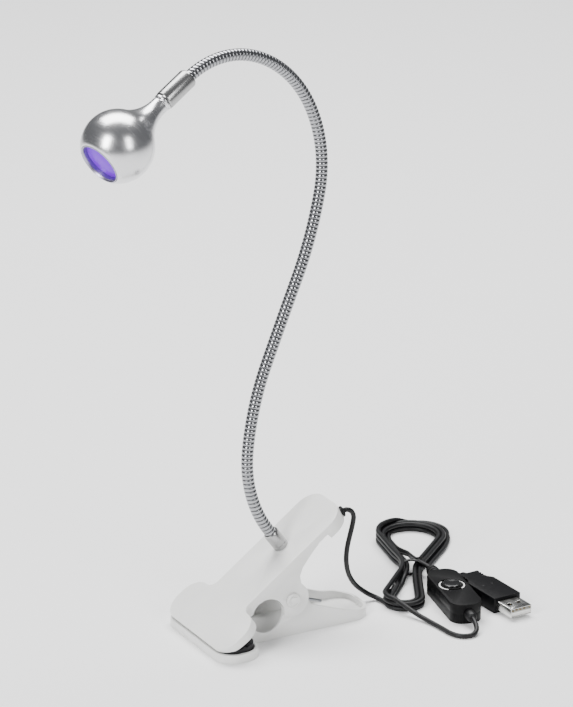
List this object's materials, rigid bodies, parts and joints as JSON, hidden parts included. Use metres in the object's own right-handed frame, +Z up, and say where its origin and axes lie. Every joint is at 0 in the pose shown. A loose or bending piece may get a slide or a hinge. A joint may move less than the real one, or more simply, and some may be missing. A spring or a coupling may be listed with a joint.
{
  "type": "clip-on gooseneck uv curing lamp",
  "caption": "Spring-clamp lamp with a bendable metal neck, a ball-shaped metal head with a violet lens, and a USB cord with an inline push switch, tied in a hank.",
  "frame": {"origin": "on the flat underside of the lower clamp half, straight below the pivot pin, at mid-width", "axes": "+Z up from the surface it stands on; +X from the pivot towards the handle ends, so the jaws open towards -X; +Y along the pivot pin, away from the side where the cord leaves"},
  "size_m": [0.2271, 0.1377, 0.2855],
  "materials": {
    "white_abs": "moulded ABS, satin gloss",
    "black_pad": "moulded rubber, matt",
    "steel_wire": "bright drawn steel",
    "chrome_hose": "chromed interlocked strip",
    "ferrule_metal": "turned and nickel plated",
    "lamp_metal": "turned aluminium, satin",
    "brass": "plain turned brass",
    "board_green": "glass epoxy board",
    "chip_yellow": "ceramic chip with clear dome",
    "mirror_cup": "vacuum metallised",
    "violet_lens": "clear, lit violet from inside",
    "black_cord": "soft PVC jacket, satin",
    "lead_sheath": "soft PVC jacket",
    "black_abs": "moulded ABS, fine spark texture",
    "tie_black": "PVC-covered wire",
    "board_tan": "paper phenolic board",
    "plug_steel": "nickel-plated steel strip",
    "white_insert": "moulded nylon"
  },
  "bodies": {
    "lower_half": {"clamp_lower": "white_abs", "lower_jaw_pad": "black_pad", "pivot_pin": "steel_wire", "pivot_cap_near": "white_abs", "pivot_cap_far": "white_abs", "torsion_spring": "steel_wire", "cord_tail": "black_cord", "cord_hank": "black_cord", "twist_tie": "tie_black", "switch_boot": "black_cord", "switch_case_bottom": "black_abs", "switch_case_top": "black_abs", "switch_board": "board_tan", "switch_plunger_block": "black_abs", "button_spring": "steel_wire", "switch_screws": "steel_wire", "cord_to_switch": "black_cord", "cord_from_switch": "black_cord", "cord_to_plug": "black_cord", "plug_overmould": "black_cord", "plug_shell": "plug_steel", "plug_tongue": "white_insert", "plug_contacts": "brass"},
    "upper_half": {"clamp_upper": "white_abs", "upper_jaw_pad": "black_pad", "base_ferrule": "ferrule_metal", "lock_washer": "steel_wire", "base_nut": "brass", "lead_in_clamp": "lead_sheath", "cord_grommet": "black_cord", "hose_1": "chrome_hose", "neck_lead_1": "lead_sheath"},
    "neck_2": {"hose_2": "chrome_hose", "neck_lead_2": "lead_sheath"},
    "neck_3": {"hose_3": "chrome_hose", "neck_lead_3": "lead_sheath"},
    "neck_4": {"hose_4": "chrome_hose", "neck_lead_4": "lead_sheath"},
    "neck_5": {"hose_5": "chrome_hose", "neck_lead_5": "lead_sheath"},
    "neck_6": {"hose_6": "chrome_hose", "neck_lead_6": "lead_sheath"},
    "lamp_head": {"hose_7": "chrome_hose", "neck_lead_7": "lead_sheath", "head_ferrule": "ferrule_metal", "lamp_housing": "lamp_metal", "heat_spreader": "lamp_metal", "led_board": "board_green", "led_chip": "chip_yellow", "reflector": "mirror_cup", "lens": "violet_lens", "lens_bezel": "lamp_metal"},
    "button": {"switch_button": "black_abs"}
  },
  "joints": [
    {"name": "jaw_open", "type": "hinge", "parent": "lower_half", "child": "upper_half", "pos_m": [0, 0, 0.0195], "axis": [0, 1, 0], "range_deg": [0, 30], "stiffness_Nm_per_rad": 0.5, "springref_deg": -45.84, "deforming": ["torsion_spring", "cord_tail"]},
    {"name": "neck_foot_bend", "type": "hinge", "parent": "upper_half", "child": "neck_2", "pos_m": [-0.01399, 0.00366, 0.09216], "axis": [-0.1751, 0.9763, -0.1272], "range_deg": [-20, 20], "deforming": ["neck_lead_1", "neck_lead_2"]},
    {"name": "neck_foot_sway", "type": "hinge", "parent": "neck_2", "child": "neck_3", "pos_m": [0.00056, 0.01144, 0.13188], "axis": [0.8582, 0.088, -0.5057], "range_deg": [-20, 20], "deforming": ["neck_lead_2", "neck_lead_3"]},
    {"name": "neck_low_bend", "type": "hinge", "parent": "neck_3", "child": "neck_4", "pos_m": [0.02172, 0.02002, 0.16855], "axis": [-0.1751, 0.9763, -0.1272], "range_deg": [-20, 20], "deforming": ["neck_lead_3", "neck_lead_4"]},
    {"name": "neck_high_bend", "type": "hinge", "parent": "neck_4", "child": "neck_5", "pos_m": [0.03888, 0.02814, 0.20725], "axis": [-0.1751, 0.9763, -0.1272], "range_deg": [-20, 20], "deforming": ["neck_lead_4", "neck_lead_5"]},
    {"name": "neck_crown_sway", "type": "hinge", "parent": "neck_5", "child": "neck_6", "pos_m": [0.03695, 0.03326, 0.24923], "axis": [0.9086, 0.21, 0.3611], "range_deg": [-20, 20], "deforming": ["neck_lead_5", "neck_lead_6"]},
    {"name": "neck_crown_bend", "type": "hinge", "parent": "neck_6", "child": "lamp_head", "pos_m": [0.00723, 0.0318, 0.2789], "axis": [-0.1751, 0.9763, -0.1272], "range_deg": [-20, 20], "deforming": ["neck_lead_6", "neck_lead_7"]},
    {"name": "button_press", "type": "slide", "parent": "lower_half", "child": "button", "axis": [0, 0, -1], "range_m": [0, 0.001], "stiffness_N_per_m": 800, "springref_m": -0.0006, "deforming": ["button_spring"]}
  ]
}
